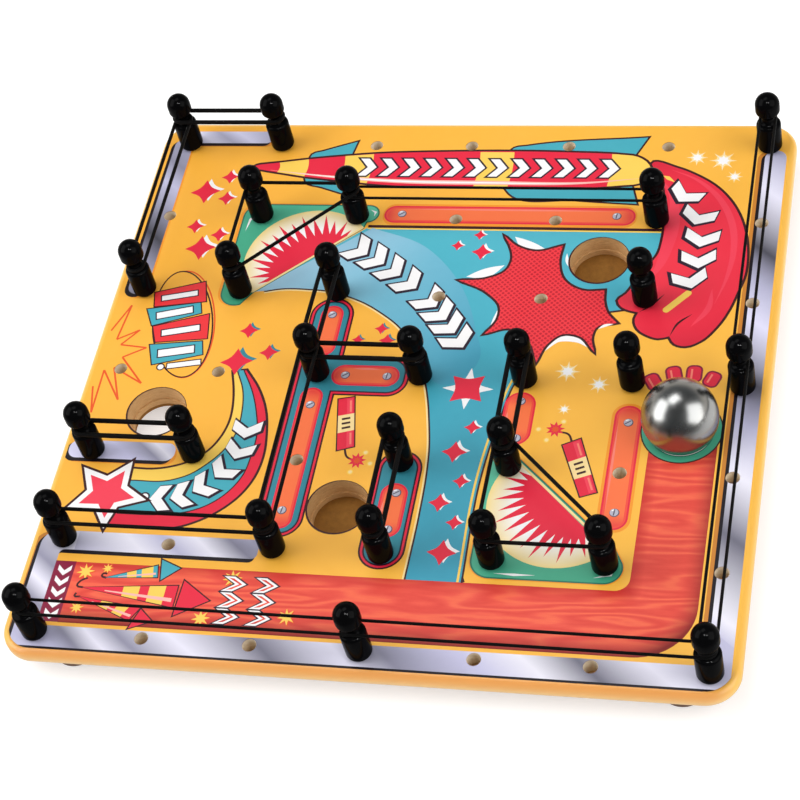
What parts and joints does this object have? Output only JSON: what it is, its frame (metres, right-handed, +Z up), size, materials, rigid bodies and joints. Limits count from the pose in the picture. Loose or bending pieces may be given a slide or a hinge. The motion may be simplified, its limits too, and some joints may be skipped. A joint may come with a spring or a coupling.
{
  "type": "tilt maze game",
  "caption": "Square tabletop ball maze: a printed wooden board on rubber feet, with ball holes, push-in pegs that carry elastic band walls, and a steel ball.",
  "frame": {"origin": "centre of the board's outline at table level, on the plane of the foot bottoms", "axes": "+Z up, +X to the right and +Y to the back as a player sees the board"},
  "size_m": [0.255, 0.254, 0.0419],
  "materials": {
    "fibreboard": "bare machined fibreboard",
    "printed_film": "satin printed film, mostly warm yellow",
    "foot_rubber": "matte brown rubber",
    "peg_plastic": "glossy black moulded plastic",
    "band_elastic": "matte black elastic",
    "ball_steel": "polished steel"
  },
  "bodies": {
    "board": {"bottom_board": "fibreboard", "top_board": "fibreboard", "printed_overlay": "printed_film", "foot_front_left": "foot_rubber", "foot_front_right": "foot_rubber", "foot_back_left": "foot_rubber", "foot_back_right": "foot_rubber"},
    "wall_back_left": {"peg_c0_r0": "peg_plastic", "peg_c1_r0": "peg_plastic", "peg_c0_r2": "peg_plastic", "band_back_left": "band_elastic", "band_left_back": "band_elastic"},
    "wall_back_middle": {"peg_c1_r1": "peg_plastic", "peg_c2_r1": "peg_plastic", "peg_c1_r2": "peg_plastic", "peg_c5_r1": "peg_plastic", "band_bumper_back": "band_elastic", "band_cross_back": "band_elastic"},
    "wall_centre": {"peg_c2_r2": "peg_plastic", "peg_c2_r3": "peg_plastic", "peg_c3_r3": "peg_plastic", "peg_c2_r5": "peg_plastic", "peg_c0_r5": "peg_plastic", "band_centre_back": "band_elastic", "band_centre_cross": "band_elastic", "band_centre_front": "band_elastic", "band_left_front": "band_elastic"},
    "wall_left_short": {"peg_c0_r4": "peg_plastic", "peg_c1_r4": "peg_plastic", "band_left_short": "band_elastic"},
    "wall_middle_short": {"peg_c3_r4": "peg_plastic", "peg_c3_r5": "peg_plastic", "band_middle_short": "band_elastic"},
    "wall_front_bumper": {"peg_c4_r3": "peg_plastic", "peg_c4_r4": "peg_plastic", "peg_c4_r5": "peg_plastic", "peg_c5_r5": "peg_plastic", "band_lane_side": "band_elastic", "band_bumper_front": "band_elastic"},
    "wall_front_right": {"peg_c0_r6": "peg_plastic", "peg_c3_r6": "peg_plastic", "peg_c6_r6": "peg_plastic", "peg_c6_r3": "peg_plastic", "peg_c6_r0": "peg_plastic", "band_front_long": "band_elastic", "band_right_long": "band_elastic"},
    "post_back": {"peg_c5_r2": "peg_plastic"},
    "post_front": {"peg_c5_r3": "peg_plastic"},
    "ball": {"steel_ball": "ball_steel"}
  },
  "joints": [
    {"name": "wall_back_left_lift", "type": "slide", "parent": "board", "child": "wall_back_left", "axis": [0, 0, 1], "range_m": [0, 0.02]},
    {"name": "wall_back_middle_lift", "type": "slide", "parent": "board", "child": "wall_back_middle", "axis": [0, 0, 1], "range_m": [0, 0.02]},
    {"name": "wall_centre_lift", "type": "slide", "parent": "board", "child": "wall_centre", "axis": [0, 0, 1], "range_m": [0, 0.02]},
    {"name": "wall_left_short_lift", "type": "slide", "parent": "board", "child": "wall_left_short", "axis": [0, 0, 1], "range_m": [0, 0.02]},
    {"name": "wall_middle_short_lift", "type": "slide", "parent": "board", "child": "wall_middle_short", "axis": [0, 0, 1], "range_m": [0, 0.02]},
    {"name": "wall_front_bumper_lift", "type": "slide", "parent": "board", "child": "wall_front_bumper", "axis": [0, 0, 1], "range_m": [0, 0.02]},
    {"name": "wall_front_right_lift", "type": "slide", "parent": "board", "child": "wall_front_right", "axis": [0, 0, 1], "range_m": [0, 0.02]},
    {"name": "post_back_lift", "type": "slide", "parent": "board", "child": "post_back", "axis": [0, 0, 1], "range_m": [0, 0.02]},
    {"name": "post_front_lift", "type": "slide", "parent": "board", "child": "post_front", "axis": [0, 0, 1], "range_m": [0, 0.02]},
    {"name": "ball_lift", "type": "slide", "parent": "board", "child": "ball", "axis": [0, 0, 1], "range_m": [0, 0.04]}
  ]
}
